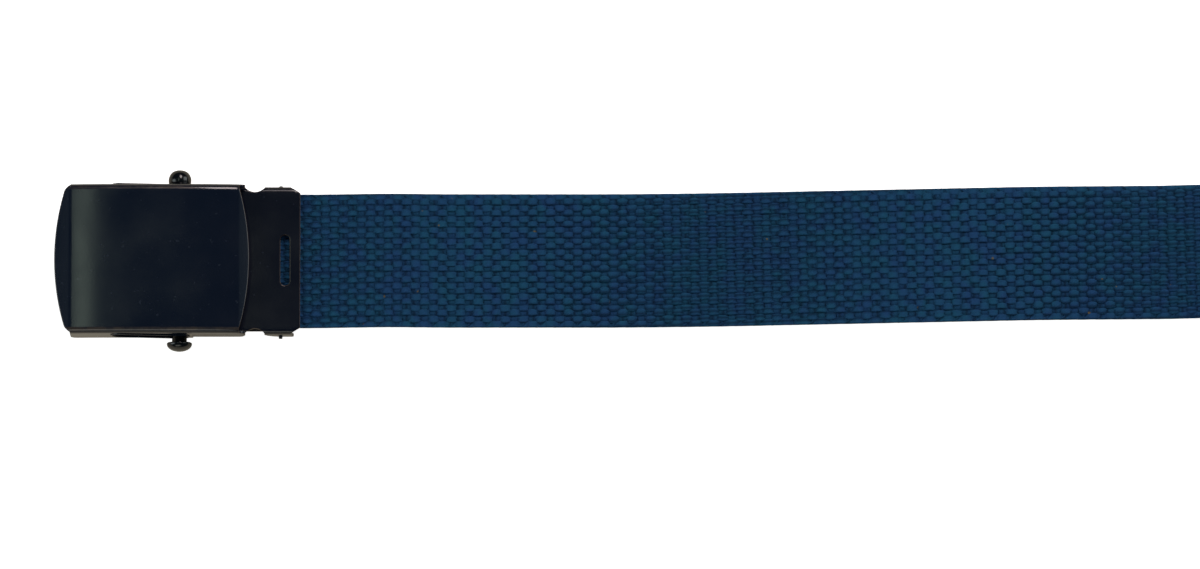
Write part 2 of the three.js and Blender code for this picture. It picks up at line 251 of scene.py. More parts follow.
def filled_blank(loops, grid_x, grid_s, margin):
    """Points and triangles over an outline with holes: a strip along its edges, and a grid within."""
    grid = np.stack(np.meshgrid(grid_x, grid_s, indexing="ij"), -1).reshape(-1, 2)
    grid = grid[inside_loops(grid, loops)]
    grid = grid[distance_to_loops(grid, loops) > margin * grid_room]
    points = np.concatenate([*loops, edge_strip(loops, margin), grid])
    edges = []
    first = 0
    for loop in loops:
        order = np.arange(len(loop)) + first
        edges.append(np.stack([order, np.roll(order, -1)], 1))
        first += len(loop)
    edges = np.concatenate(edges).tolist()
    found = delaunay_2d_cdt(points.tolist(), edges, [], 0, same_point)
    flat = np.array([(p[0], p[1]) for p in found[0]])
    triangles = np.array(found[2])
    first_side, second_side = np.moveaxis(flat[triangles[:, 1:]] - flat[triangles[:, :1]], 1, 0)
    area = np.abs(first_side[:, 0] * second_side[:, 1] - first_side[:, 1] * second_side[:, 0]) / 2
    return flat, triangles[inside_loops(flat[triangles].mean(1), loops) & (area > smallest_triangle)]


middle = np.array([0.5])
tiles = filled_blank([unit_square], middle, middle, 0.1)[1]
print("a square with one point in its middle has", len(tiles), "triangles")

# %% Arcs and even steps for outlines


def arc_points(centre, radius, start, end, count):
    """Points of a circle's arc between two angles in degrees, both ends included."""
    angle = np.radians(np.linspace(start, end, count))
    return np.stack([centre[0] + radius * np.cos(angle), centre[1] + radius * np.sin(angle)], 1)


def stepped(points, step):
    """A closed loop with points added so that no edge is longer than the step."""
    parts = []
    for here, there in zip(points, np.roll(points, -1, axis=0)):
        count = max(1, int(np.ceil(np.linalg.norm(there - here) / step)))
        parts.append(here + (there - here) * np.arange(count)[:, None] / count)
    return np.concatenate(parts)


print("a unit square in steps of 0.3 has", len(stepped(unit_square, 0.3)), "points")

# %% [markdown]
# A fold keeps the length of the sheet. So each point has a place s, its distance from
# the middle line measured on the sheet, and the formula only says where that place
# goes: level, then round a quarter circle, then straight down. The grid is fine where
# the sheet turns and coarse where it is flat.

# %% Folding the blank
fold_points = 9


def folded(x, s, half, bend, top):
    """A blank folded down along both sides: level to the bend, a quarter turn, then straight down.

    s is the distance from the middle line, measured on the sheet. Up to half - bend it is
    level at the height top, over the next bend * pi / 2 it turns, and what is left hangs.
    """
    level = half - bend
    from_middle = np.abs(s)
    turn = np.clip(from_middle - level, 0, bend * pi / 2) / bend
    hanging = np.maximum(from_middle - level - bend * pi / 2, 0)
    y = np.sign(s) * (np.minimum(from_middle, level) + bend * np.sin(turn))
    z = top - bend * (1 - np.cos(turn)) - hanging
    return np.stack([x, y, z], -1)


def sheet_places(half, bend, reach, step):
    """Places across a blank: even steps, and fine ones where it turns."""
    level = half - bend
    turn_end = level + bend * pi / 2
    flat = np.linspace(0, level, int(level / step) + 1)
    turning = np.linspace(level, turn_end, fold_points)[1:]
    hanging = np.arange(turn_end + step, reach, step)
    right = np.concatenate([flat, turning, hanging])
    return np.concatenate([-right[:0:-1], right])


places = sheet_places(10.0, 1.0, 15.0, 0.7)
print("a sheet folded 10 mm from its middle has", len(places), "places across")

# %% [markdown]
# The folded surface has no thickness yet. Solidify adds it on the inside, so the
# outside keeps its true size. Pressed steel never has a knife edge, so a narrow Bevel
# of two segments rounds every cut, and it can give the cuts a finish of their own: a
# lighter, warm metal, partly paint worn off there first and partly a painted highlight
# along the rims. Weighted normals keep the flat parts flat beside it.

# %% Thickness and soft edges
sharp_angle = radians(50)


def round_edges(piece, edge_round):
    """Soft edges along every sharp fold, in the material of the second slot, if there is one."""
    soft = piece.modifiers.new("soft edges", "BEVEL")
    soft.limit_method = "ANGLE"
    soft.angle_limit = sharp_angle
    soft.width = edge_round * MM
    soft.segments = 2
    soft.use_clamp_overlap = False
    soft.material = 1
    shade = piece.modifiers.new("even shading", "WEIGHTED_NORMAL")
    shade.keep_sharp = True


def give_thickness(piece, edge_round, inside_slot=0):
    """The sheet's thickness inwards from the outer face, with all cut edges softly rounded."""
    solid = piece.modifiers.new("thickness", "SOLIDIFY")
    solid.thickness = sheet_thickness * MM
    solid.offset = -1
    solid.use_even_offset = True
    solid.material_offset = inside_slot
    round_edges(piece, edge_round)
    print(piece.name, "is", sheet_thickness, "mm thick, its edges rounded by", edge_round, "mm")


print("edges sharper than", round(sharp_angle * 180 / pi), "degrees are rounded")

# %% [markdown]
# The cover is an arched channel. Seen from above its ends are bowed, and beyond the line
# between its corners each end is pressed a few degrees further down, as a narrow lip.
# That crease shows on the real one as a straight edge where the glossy band stops. Each
# side wall has a slanted slot for the roller bar, with a pressed-out lip round it.

# %% Sizes of the face cover
cover_bend = 1.5
cover_crown = 1.1
crown_power = 4
front_bulge = 2.9
rear_bulge = 2.6
front_lip_slope = tan(radians(9))
rear_lip_slope = tan(radians(7))
front_lip_back = 0.8
rear_lip_back = 0.2
wall_corner = 1.6
wall_end = 32.7
shoulder_gap = 0.3
tab_from_end = 1.0
neck_radius = 1.75
slot_clearance = 0.3
slot_travel = 13.7
slot_grip_height = 5.59

shoulder_height = clip_top + shoulder_gap
wall_tab_end = cover_length - tab_from_end
slot_half = neck_radius + slot_clearance
bar_x = (bar_low.x + bar_high.x) / 2 / MM - front_x
bar_z = (bar_low.z + bar_high.z) / 2 / MM
slot_rest = np.array([bar_x, bar_z])
slot_grip = np.array([bar_x - slot_travel, slot_grip_height])
front_radius = (cover_half ** 2 + front_bulge ** 2) / (2 * front_bulge)
rear_radius = (cover_half ** 2 + rear_bulge ** 2) / (2 * rear_bulge)
front_crease = front_bulge + front_lip_back
rear_crease = cover_length - rear_bulge - rear_lip_back
print("creases at", round(front_crease, 2), "and", round(rear_crease, 2), "mm from the front")

# %% Height of the cover, and places on its walls


def cover_top_at(x):
    """Height of the cover: level in the middle, falling with the fourth power towards both
    ends, and pressed lower beyond the two creases."""
    share = x / cover_length * 2 - 1
    front = np.maximum(front_crease - x, 0) * front_lip_slope
    rear = np.maximum(x - rear_crease, 0) * rear_lip_slope
    return cover_top - cover_crown * np.abs(share) ** crown_power - front - rear


def on_cover_wall(x, z):
    """Distance from the middle line, on the sheet, of a point of the wall at height z."""
    return cover_half - cover_bend + cover_bend * pi / 2 + cover_top_at(x) - cover_bend - z


print("the cover is", round(cover_top_at(0.0), 2), "mm high in front,", round(cover_top, 2), "in the middle")

# %% Outline of the cover's blank
front_points = 90
rear_points = 84
corner_points = 10
front_cut = 0.9
front_cut_start = 16.2
front_cut_rate = 0.5
front_cut_power = 1.4
rear_start_share = 0.45
tab_share = 0.15
# corners of the wall's rear tab: how far before its end, and below its low or high edge
tab_low_corners = np.array([[1.2, 0.0], [0.3, 0.3], [0.0, 1.2]])
tab_high_corners = np.array([[0.4, -0.5], [1.2, 0.0]])


def stadium(start, end, half, count):
    """A slot's outline: two half circles of radius half about its ends, joined by straight sides."""
    way = np.degrees(np.arctan2(*(end - start)[::-1]))
    first = arc_points(end, half, way - 90, way + 90, count)
    second = arc_points(start, half, way + 90, way + 270, count)
    return np.concatenate([first, second])


def bow_place(s, radius):
    """How far the cover's bowed end stands back at a place on the sheet, from its furthest point."""
    y = folded(np.zeros_like(s), s, cover_half, cover_bend, 0.0)[:, 1]
    return radius - np.sqrt(radius ** 2 - y ** 2)


def cover_wall():
    """The far wall's edge from front to rear: a round corner, the foot, a step and the tab."""
    corner_middle = (front_bulge + front_cut + wall_corner, wall_corner)
    corner = arc_points(corner_middle, wall_corner, 180, 270, corner_points)[1:]
    x = np.concatenate([corner[:, 0], [wall_end, wall_end]])
    z = np.concatenate([corner[:, 1], [0.0, shoulder_height]])
    tab_low = np.array([wall_tab_end, on_cover_wall(wall_tab_end, shoulder_height)])
    tab_high = np.array([wall_tab_end, cover_half + tab_share * cover_bend])
    foot = np.stack([x, on_cover_wall(x, z)], 1)
    return np.concatenate([foot, tab_low - tab_low_corners, tab_high - tab_high_corners])


def cover_outline():
    """The blank's outline: bowed front and rear, between the edges of both walls."""
    edge_s = on_cover_wall(front_bulge, wall_corner)
    front_s = np.linspace(edge_s, -edge_s, front_points)
    cut = front_cut_rate * np.maximum(np.abs(front_s) - front_cut_start, 0) ** front_cut_power
    front_x_at = bow_place(front_s, front_radius) + np.minimum(cut, front_cut)
    rear_edge = cover_half - rear_start_share * cover_bend
    rear_s = np.linspace(-rear_edge, rear_edge, rear_points)
    rear_x_at = cover_length - bow_place(rear_s, rear_radius)
    far = cover_wall()
    front = np.stack([front_x_at, front_s], 1)
    rear = np.stack([rear_x_at, rear_s], 1)
    return stepped(np.concatenate([front, far * [1, -1], rear, far[::-1]]), outline_step)


print("the cover's outline has", len(cover_outline()), "points")

# %% Face cover
slot_arc_points = 14
cover_margin = 0.3
cover_step = 0.7
cover_reach = 27.0
cover_edge_round = 0.16
cover_first_column = 0.1
lip_columns, middle_columns, rear_columns = 7, 67, 6

slot = stepped(stadium(slot_grip, slot_rest, slot_half, slot_arc_points), outline_step)
slot_loop = np.stack([slot[:, 0], on_cover_wall(slot[:, 0], slot[:, 1])], 1)
cover_x = np.concatenate([
    np.linspace(cover_first_column, front_crease, lip_columns),
    np.linspace(front_crease, rear_crease, middle_columns)[1:],
    np.linspace(rear_crease, cover_length, rear_columns)[1:],
])
cover_s = sheet_places(cover_half, cover_bend, cover_reach, cover_step)
cover_flat, cover_triangles = filled_blank(
    [cover_outline(), slot_loop, slot_loop * [1, -1]], cover_x, cover_s, cover_margin)
flat_x, flat_s = cover_flat.T
cover_points = folded(flat_x, flat_s, cover_half, cover_bend, cover_top_at(flat_x))
from_fold = ("from_fold", np.abs(flat_s) - (cover_half - cover_bend))
buckle_face = new_piece("buckle_face", cover_points, [cover_triangles], "belt",
                        ["face_cover"], measure=from_fold)
give_thickness(buckle_face, cover_edge_round, inside_slot=2)

# %% [markdown]
# The slots' lips are low rims that the punch pushed outwards. Each is one rounded
# section carried round the slot's outline, half sunk in the wall so that no gap shows.

# %% Slot lips
slot_lip_width = 0.45
slot_lip_height = 0.3
lip_arc_points = 16
lip_step = 0.5
lip_sides = 16
lip_flatness = 0.6
lip_crest_flatness = 0.7


def slot_lip_points(side):
    """A rounded section round the slot: out of the wall by its height and back into it.

    The section is a circle whose cosine and sine are raised to small powers, so it is squarer.
    """
    path = stepped(stadium(slot_grip, slot_rest, slot_half, lip_arc_points), lip_step)
    ahead = unit(np.roll(path, -1, axis=0) - np.roll(path, 1, axis=0))
    outward = np.stack([ahead[:, 1], -ahead[:, 0]], 1)
    angle = np.linspace(0, 2 * pi, lip_sides, endpoint=False)
    squared = np.abs(np.cos(angle)) ** lip_flatness * np.sign(np.cos(angle))
    raised = np.abs(np.sin(angle)) ** lip_crest_flatness * np.sign(np.sin(angle))
    away = slot_lip_width / 2 * (1 + squared)
    flat = path[:, None] + outward[:, None] * away[:, None]
    y = side * np.broadcast_to(cover_half + slot_lip_height * raised, flat.shape[:2])
    return np.stack([flat[..., 0], y, flat[..., 1]], -1)


far_lip, near_lip = slot_lip_points(1), slot_lip_points(-1)
lip_rows = len(far_lip)
lip_count = lip_rows * lip_sides
far_faces = grid_faces(lip_rows + 1, lip_sides, wrap_columns=True) % lip_count
near_faces = far_faces[:, ::-1] + lip_count
lip_points = np.concatenate([far_lip, near_lip]).reshape(-1, 3)
slot_lips = new_piece("slot_lips", lip_points, [far_faces, near_faces], "belt")

# %% [markdown]
# The clip frame is a second blank. Its cheeks run forward under the cover's shoulders,
# round notches part them from two ears, and a narrow window shows the strap below. The
# ears and cheeks fold down at both sides and hold the clamp's pivots.

# %% Sizes of the clip frame
clip_bend = 1.25
cheek_from_end = 1.0
notch_length = 4.5
notch_depth = 1.3
ear_length = 6.3
ear_lean = 0.6
corner_drop = 1.6
window_from_end = 3.6
window_width = 2.15
window_length = 12.0
pivot_from_end = 4.65
pivot_above_foot = 1.05
pivot_hole = 0.7

cheek_end = cover_length - cheek_from_end
ear_start = cheek_end + notch_length
ear_end = ear_start + ear_length
pivot_x = clip_end - pivot_from_end
clip_turn_end = clip_half - clip_bend + clip_bend * pi / 2
print("ears from", round(ear_start, 2), "to", round(ear_end, 2), "mm, pivots at", round(pivot_x, 2), "mm")

# %% Outline of the clip's blank
notch_points = 13
# corners of the cheek's rear end: how far from that end, and above the foot
cheek_corners = np.array([[1.4, 0.0], [0.5, 0.5], [0.0, 2.2]])
# corners of the ear's front and rear: how far behind its start or its end, and above the foot
ear_front_corners = np.array([[0.0, 3.0], [0.7, 1.7], [1.9, 0.6], [3.6, 0.0]])
ear_rear_corners = np.array([[ear_lean - 0.3, 0.0], [ear_lean, 0.5]])
ear_straight = 0.2


def on_clip_wall(z):
    """Distance from the middle line, on the sheet, of a point of the clip's wall at height z."""
    return clip_turn_end + clip_top - clip_bend - z


def clip_side():
    """One side of the blank from front to rear: cheek, notch, ear and cut corner."""
    foot = on_clip_wall(clip_foot)
    notch_half = notch_length / 2
    notch_radius = (notch_half ** 2 + notch_depth ** 2) / (2 * notch_depth)
    notch_angle = np.degrees(np.arcsin(notch_half / notch_radius))
    notch_middle = (cheek_end + notch_half, clip_half - notch_depth + notch_radius)
    return np.concatenate([
        [[clip_start, foot]],
        [cheek_end, foot] - cheek_corners,
        arc_points(notch_middle, notch_radius, 270 - notch_angle, 270 + notch_angle, notch_points),
        [ear_start, foot] + ear_front_corners * [1, -1],
        [ear_end, foot] + ear_rear_corners * [1, -1],
        [[ear_end, clip_turn_end + ear_straight], [ear_end, clip_half]],
        [[clip_end, clip_half - corner_drop]],
    ])


far_side = clip_side()
print("one side of the clip has", len(far_side), "corners")

# %% Clip frame
window_arc_points = 12
window_step = 0.5
pivot_points = 20
clip_margin = 0.27
clip_step = 0.6
clip_reach = 23.0
clip_edge_round = 0.14

window_middle = clip_end - window_from_end
window_reach = (window_length - window_width) / 2
window_ends = np.array([[window_middle, -window_reach], [window_middle, window_reach]])
pivot_middle = (pivot_x, on_clip_wall(clip_foot + pivot_above_foot))
pivot_loop = arc_points(pivot_middle, pivot_hole, 0, 360 - 360 / pivot_points, pivot_points)
clip_loops = [
    stepped(np.concatenate([far_side, far_side[::-1] * [1, -1]]), outline_step),
    stepped(stadium(*window_ends, window_width / 2, window_arc_points), window_step),
    pivot_loop,
    pivot_loop * [1, -1],
]
clip_x = np.arange(clip_start + clip_step / 2, clip_end, clip_step)
clip_s = sheet_places(clip_half, clip_bend, clip_reach, clip_step)
clip_flat, clip_triangles = filled_blank(clip_loops, clip_x, clip_s, clip_margin)
clip_points = folded(*clip_flat.T, clip_half, clip_bend, clip_top)
clip_plate = new_piece("clip_plate", clip_points, [clip_triangles], "belt", ["clip_frame"])
give_thickness(clip_plate, clip_edge_round)

# %% [markdown]
# The roller bar is turned on a lathe, so it is a profile carried round its axis: a
# radius for each place along the bar. Only the roller between the walls also depends on
# the angle, by its fine flutes. Small chamfers at the shoulders catch the light.

# %% Sizes and profile of the roller bar
ball_radius = 2.7
ball_length = 3.55
ball_middle_share = 0.3
ball_fullness = 0.8
ball_points = 16
cap_radius = 2.97
cap_length = 2.1
cap_rim_length = 0.35
cap_points = 9
roller_radius = 2.5
roller_gap = 0.3
roller_far_gap = 1.2
flute_count = 22
flute_depth = 0.35
flute_points = 6
chamfer = 0.18
smallest_radius = 0.01

bar_far = bar_high.y / MM - middle_y
bar_near = bar_low.y / MM - middle_y
ball_seat = bar_far - ball_length
cap_seat = bar_near + cap_length
cap_rim = cap_seat - cap_rim_length
roller_low = roller_gap - cover_half + sheet_thickness
roller_high = -roller_low - roller_far_gap


def bar_profile():
    """Places along the bar, radii and how deep the flutes are, from the cap to the ball head."""
    dome = np.linspace(0.0, pi / 2, cap_points)
    cap_y = cap_rim - (cap_rim - bar_near) * np.cos(dome)
    cap_r = cap_radius * np.sin(dome)
    ball_middle = ball_seat + ball_length * ball_middle_share
    ball_reach = bar_far - ball_middle
    low = np.arcsin((ball_middle - ball_seat) / ball_reach)
    sweep = np.linspace(-low, pi / 2, ball_points)
    ball_y = ball_middle + ball_reach * np.sin(sweep)
    ball_r = ball_radius * np.cos(sweep) ** ball_fullness
    shaft = np.array([
        [cap_seat - chamfer, cap_radius, 0],
        [cap_seat, cap_radius - chamfer, 0],
        [cap_seat, neck_radius + chamfer, 0],
        [cap_seat + chamfer, neck_radius, 0],
        [roller_low - chamfer, neck_radius, 0],
        [roller_low, neck_radius + chamfer, 0],
        [roller_low, roller_radius - flute_depth - chamfer, 0],
        [roller_low + chamfer, roller_radius, 1],
        [roller_high - chamfer, roller_radius, 1],
        [roller_high, roller_radius - flute_depth - chamfer, 0],
        [roller_high, neck_radius + chamfer, 0],
        [roller_high + chamfer, neck_radius, 0],
        [ball_seat - chamfer, neck_radius, 0],
    ])
    y = np.concatenate([cap_y, shaft[:, 0], ball_y])
    r = np.concatenate([cap_r, shaft[:, 1], ball_r])
    flutes = np.concatenate([np.zeros(cap_points), shaft[:, 2], np.zeros(ball_points)])
    return y, np.maximum(r, smallest_radius), flutes


bar_y, bar_r, bar_flutes = bar_profile()
print("the bar is", round(bar_y.max() - bar_y.min(), 2), "mm long")

# %% Roller bar
bar_angle = np.linspace(0, 2 * pi, flute_count * flute_points, endpoint=False)
flute_wave = (1 - np.abs(np.cos(bar_angle * flute_count / 2))) * flute_depth
bar_radius_at = bar_r[:, None] - bar_flutes[:, None] * flute_wave
bar_points = np.stack([
    bar_x + bar_radius_at * np.cos(bar_angle),
    np.broadcast_to(bar_y[:, None], bar_radius_at.shape),
    bar_z + bar_radius_at * np.sin(bar_angle),
], -1).reshape(-1, 3)
bar_faces = capped_tube(*bar_radius_at.shape)
roller_pin = new_piece("roller_pin", bar_points, bar_faces, "bar", ["roller_bar"])
roller_pin.data.set_sharp_from_angle(angle=sharp_angle)

# %% [markdown]
# The strap is a plain weave of thick two-ply cotton: 24 yarns run along it, and the
# cross yarn goes over one and under the next, back and forth, with a small loop at each
# edge. A bump pattern would look flat where the light is low, so the yarns are real
# tubes. They are woven straight first, by cosine waves, and then laid along the belt's
# route: out of the clip, down to the table, a slight bend, and up into the tip.

# %% The strap's route
web_in_clip = 2.35
web_drop_length = 38.0
bow_angle = radians(1.19)
bow_from_clip = 66.0
bow_length = 40.0
tip_from_clip = 215.0
tip_length = 16.0
web_in_tip = 0.8
rise_length = 14.0
drift = 0.45
drift_rise = 25.0
drift_end = 225.0
drift_fade = 47.0

web_start = web_low.x / MM - front_x
web_stop = web_high.x / MM - front_x
bow_slope = tan(bow_angle)
bow_start = clip_end + bow_from_clip
tip_mouth = clip_end + tip_from_clip


def smooth_step(share):
    """An even rise from 0 to 1 that starts and ends level: 3t^2 - 2t^3."""
    t = np.clip(share, 0, 1)
    return t * t * (3 - 2 * t)


def web_under_at(x):
    """Height of the strap's underside along its route."""
    drop = smooth_step((x - clip_end) / web_drop_length)
    rise = smooth_step((x - tip_mouth + rise_length) / rise_length)
    return web_in_clip * (1 - drop) + web_in_tip * rise


def bow_at(x):
    """Sideways place of the middle line: straight, an even bend, then straight again.

    Between the clip and the tip it also lies a little to the far side.
    """
    into = np.clip(x - bow_start, 0, bow_length)
    beyond = np.maximum(x - bow_start - bow_length, 0)
    aside = smooth_step((x - clip_end) / drift_rise) - smooth_step((x - drift_end) / drift_fade)
    return bow_slope * (into ** 2 / (2 * bow_length) + beyond) + drift * aside


def turn_at(x):
    """Direction of the middle line: its slope grows evenly along the bend."""
    return np.arctan(bow_slope * np.clip((x - bow_start) / bow_length, 0, 1))


def laid_on_route(along, side, height):
    """Strap coordinates as buckle coordinates, turned to follow the bend."""
    x = along - side * np.sin(turn_at(along))
    y = bow_at(along) + side * np.cos(turn_at(along))
    return np.stack([x, y, web_under_at(along) + height], -1)


print("strap from", round(web_start, 2), "to", round(web_stop, 2), "mm")
print("it ends", round(bow_at(web_stop), 2), "mm to the side")

# %% [markdown]
# The yarns lie in pairs: the two of a pair are close, with a slightly wider gap to the
# next pair, and one rises where its neighbour dips. That gives the small bricks that
# show on the real strap. Each yarn is widest at its crest, where it is pressed flat,
# and narrow where it dives under a cross yarn. A steady random noise moves each crest
# a little, because no loom is perfect.

# %% Places and sizes of the lengthwise yarns
float_period = 4.25
pick_pitch = float_period / 2
row_count = 24
pair_pitch = 2.64
pair_spacing = 1.13
web_middle = 0.95
warp_swing = 0.45
warp_half_height = 0.46
warp_wide = 0.86
warp_narrow = 0.70
edge_width = 0.82
edge_swing = 0.15
pair_lean = 0.08
groove_floor = 0.5
dip_thinning = 0.1
crest_power = 0.85
width_power = 0.8
end_taper = 0.25
place_noise = 0.03
side_noise = 0.045
height_noise = 0.045
width_noise = 0.08
stations_a_period = 10
yarn_sides = 12

rows = np.arange(row_count)
pair_side = ((row_count / 2 - 1) / 2 - rows // 2) * pair_pitch
row_side = pair_side + np.where(rows % 2, -1, 1) * pair_spacing / 2
row_phase = (rows % 2) * 0.5
print(row_count, "yarns over", round(2 * row_side[0], 2), "mm, a crest every", float_period, "mm")

# %% Sections of a yarn


def steady_noise(yarns, knots, places):
    """Random numbers along each yarn: values at knots, joined by straight lines."""
    values = random.normal(size=(yarns, len(knots)))
    return np.stack([np.interp(places, knots, value) for value in values])


def round_section(angle):
    """Height of a plain round section at an angle: its sine."""
    return np.sin(angle)


def two_strand_section(angle):
    """Height of two round strands side by side: a circle over each half of the width.

    Over a place across from 0 to 1 each circle is sqrt(1 - ((across - 0.5) / 0.5) ** 2), and
    between them the groove is only as deep as groove_floor leaves it.
    """
    across = np.abs(np.cos(angle))
    strand = np.sqrt(np.maximum(1 - ((across - 0.5) / 0.5) ** 2, 0))
    return np.sign(np.sin(angle)) * np.maximum(strand, groove_floor * np.abs(np.sin(angle)))


print("in the groove the section is", round(two_strand_section(pi / 2), 2), "of the strands' height")

# %% Tubes along centre lines


def tube_mesh(centre, across, upward, half_width, half_height, sides, section=round_section):
    """Tubes round centre lines, closed at both ends, with texture coordinates in millimetres.

    A point is centre + cos(angle) * half_width * across + section(angle) * half_height * upward.
    All inputs have a row for each yarn and a column for each station.
    """
    yarns, stations = centre.shape[:2]
    angle = np.linspace(0, 2 * pi, sides, endpoint=False)
    wide = (half_width[..., None] * np.cos(angle))[..., None] * across[:, :, None]
    tall = (half_height[..., None] * section(angle))[..., None] * upward[:, :, None]
    points = centre[:, :, None] + wide + tall
    shift = (np.arange(yarns) * stations * sides)[:, None, None]
    quads, first, last = capped_tube(stations, sides)
    quads = (quads + shift).reshape(-1, 4)
    caps = (np.concatenate([first, last]) + shift).reshape(-1, sides)
    step = np.linalg.norm(np.diff(centre, axis=1), axis=2)
    run = np.concatenate([np.zeros((yarns, 1)), np.cumsum(step, axis=1)], 1)
    girth = np.arange(sides + 1) / sides
    low, high = run[:, :-1, None], run[:, 1:, None]
    left, right = girth[None, None, :-1], girth[None, None, 1:]
    full = np.broadcast_shapes(low.shape, left.shape)
    u = np.stack([np.broadcast_to(a, full) for a in (low, high, high, low)], -1)
    v = np.stack([np.broadcast_to(a, full) for a in (left, left, right, right)], -1)
    quad_uv = np.stack([u, v], -1).reshape(-1, 2)
    cap_uv = np.zeros((yarns * 2 * sides, 2))
    return points.reshape(-1, 3), [quads, caps], np.concatenate([quad_uv, cap_uv])


def new_yarns(name, arrays, replaced=()):
    """A piece of yarn: points, faces, texture coordinates, and how near a crest each point is."""
    points, faces, uv, crest = arrays
    return new_piece(name, points, faces, "belt", replaced, uv, ("crest", crest))


print("a tube has", yarn_sides, "sides and", stations_a_period, "stations for each crest and dip")

# %% Lengthwise yarns


def warp_arrays(chosen):
    """The chosen lengthwise yarns: height and width follow a cosine of the place along the strap."""
    period_count = (web_stop - web_start) / float_period
    along = np.linspace(web_start, web_stop, int(period_count * stations_a_period))
    knots = np.arange(web_start - pick_pitch, web_stop + 2 * pick_pitch, pick_pitch)
    early = steady_noise(len(chosen), knots, along) * place_noise
    wave = np.cos(2 * pi * (along / float_period - row_phase[chosen][:, None] + early))
    uneven_side = steady_noise(len(chosen), knots, along) * side_noise
    uneven_width = 1 + steady_noise(len(chosen), knots, along) * width_noise
    uneven_height = steady_noise(len(chosen), knots, along) * height_noise
    at_edge = ((chosen == 0) | (chosen == row_count - 1))[:, None]
    lean = np.where(chosen % 2, 1, -1)[:, None] * np.where(at_edge, 0, pair_lean) * wave
    side = row_side[chosen][:, None] + lean + np.where(at_edge, 0, uneven_side)
    swing = np.sign(wave) * np.abs(wave) ** crest_power
    height = web_middle + warp_swing * np.where(at_edge, edge_swing, 1) * swing + uneven_height
    half_width = (warp_narrow + (warp_wide - warp_narrow) * np.abs(wave) ** width_power) * uneven_width
    half_width = np.where(at_edge, edge_width, half_width)
    half_height = warp_half_height * (1 - dip_thinning + dip_thinning * np.abs(wave))
    tail = np.minimum(np.arange(len(along)), np.arange(len(along))[::-1])
    taper = np.clip((tail + 0.5) / 2, end_taper, 1)
    centre = laid_on_route(np.broadcast_to(along, side.shape), side, height)
    turn = turn_at(along)
    across = np.stack([-np.sin(turn), np.cos(turn), np.zeros_like(turn)], -1)
    across = np.broadcast_to(across, centre.shape)
    upward = np.cross(unit(np.gradient(centre, axis=1)), across)
    crest = np.repeat(np.abs(wave).ravel(), yarn_sides)
    return *tube_mesh(centre, across, upward, half_width * taper, half_height * taper, yarn_sides,
                      two_strand_section), crest


warp_pieces = [
    new_yarns("webbing_warp_far", warp_arrays(rows[:row_count // 2]), ["webbing"]),
    new_yarns("webbing_warp_near", warp_arrays(rows[row_count // 2:])),
]

# %% [markdown]
# Between the pairs the light of the table would show through as white dots. A real
# strap has stuffer yarns there, which lie straight in the middle of the weave and give
# it body. Nobody sees their shape, so they are thin plain tubes.

# %% Core yarns
core_half_width = 0.42
core_half_height = 0.30
core_step = 2.5
core_from_end = 0.5
thin_sides = 8


def core_arrays():
    """Straight yarns inside the weave, one between every two pairs, at half the strap's height."""
    along = np.arange(web_start + core_from_end, web_stop - core_from_end, core_step)
    side = (np.arange(row_count // 2 - 1) - (row_count / 2 - 2) / 2) * pair_pitch
    side = np.broadcast_to(side[:, None], (len(side), len(along)))
    along = np.broadcast_to(along, side.shape)
    centre = laid_on_route(along, side, np.full_like(along, web_middle))
    across = np.broadcast_to([0.0, 1.0, 0.0], centre.shape)
    upward = np.broadcast_to([0.0, 0.0, 1.0], centre.shape)
    width = np.full_like(along, core_half_width)
    height = np.full_like(along, core_half_height)
    # crest 0: the material paints the core yarns with the full shade of the dips
    crest = np.zeros(along.size * thin_sides)
    return *tube_mesh(centre, across, upward, width, height, thin_sides), crest


webbing_core = new_yarns("webbing_core", core_arrays())

# %% [markdown]
# The cross yarn is one single thread for the whole strap. It could be made as many
# separate rods, but then the edges would look cut. So the path goes back and forth
# like the shuttle, and turns round the outermost yarns in small loops. It is wide and
# flat between the yarns and thin in the loops.

# %% Cross yarn
weft_swing = 0.30
weft_half_width = 0.94
turn_half_width = 0.34
weft_taper = 1.0
weft_half_height = 0.27
# the cross yarn takes a middle amount of the painted shade all along
weft_crest = 0.5
stations_a_row = 4
turn_stations = 8
turn_reach = 0.50


def weft_arrays():
    """One long yarn: picks straight across at even distances, joined by half loops at the edges.

    Along a pick the height follows a cosine that is low under the floats and high between
    them. In a loop the place turns through half a circle from one pick to the next.
    """
    first = np.ceil(web_start / pick_pitch + 0.5)
    last = np.floor(web_stop / pick_pitch - 0.5)
    pick = np.arange(first, last + 1)
    edge = row_side[0]
    share = np.linspace(-1, 1, row_count * stations_a_row)
    way = np.where(pick % 2, -1.0, 1.0)[:, None]
    side = way * share * edge
    row = np.interp(side, row_side[::-1], rows[::-1].astype(float))
    height = -way * weft_swing * np.cos(pi * row)
    along = np.broadcast_to(pick[:, None] * pick_pitch, side.shape)
    angle = np.linspace(0, pi, turn_stations + 2)[1:-1]
    turn_side = way * (edge + turn_reach * np.sin(angle))
    turn_along = pick[:, None] * pick_pitch + pick_pitch * (1 - np.cos(angle)) / 2
    turn_height = height[:, -1:] * np.cos(angle)
    wide = np.clip((edge - np.abs(side)) / weft_taper, 0, 1)
    width = turn_half_width + (weft_half_width - turn_half_width) * wide
    width = np.concatenate([width, np.full(turn_side.shape, turn_half_width)], 1)
    width = width.ravel()[None, :-turn_stations]
    along, side, height = [
        np.concatenate(pair, 1).ravel()[:-turn_stations]
        for pair in ((along, turn_along), (side, turn_side), (height, turn_height))
    ]
    centre = laid_on_route(along, side, web_middle + height)[None]
    ahead = unit(np.gradient(centre, axis=1))
    across = unit(np.cross(ahead, [0.0, 0.0, 1.0]))
    upward = np.cross(across, ahead)
    height = np.full_like(width, weft_half_height)
    crest = np.full(width.size * thin_sides, weft_crest)
    return *tube_mesh(centre, -across, upward, width, height, thin_sides), crest


webbing_weft = new_yarns("webbing_weft", weft_arrays())
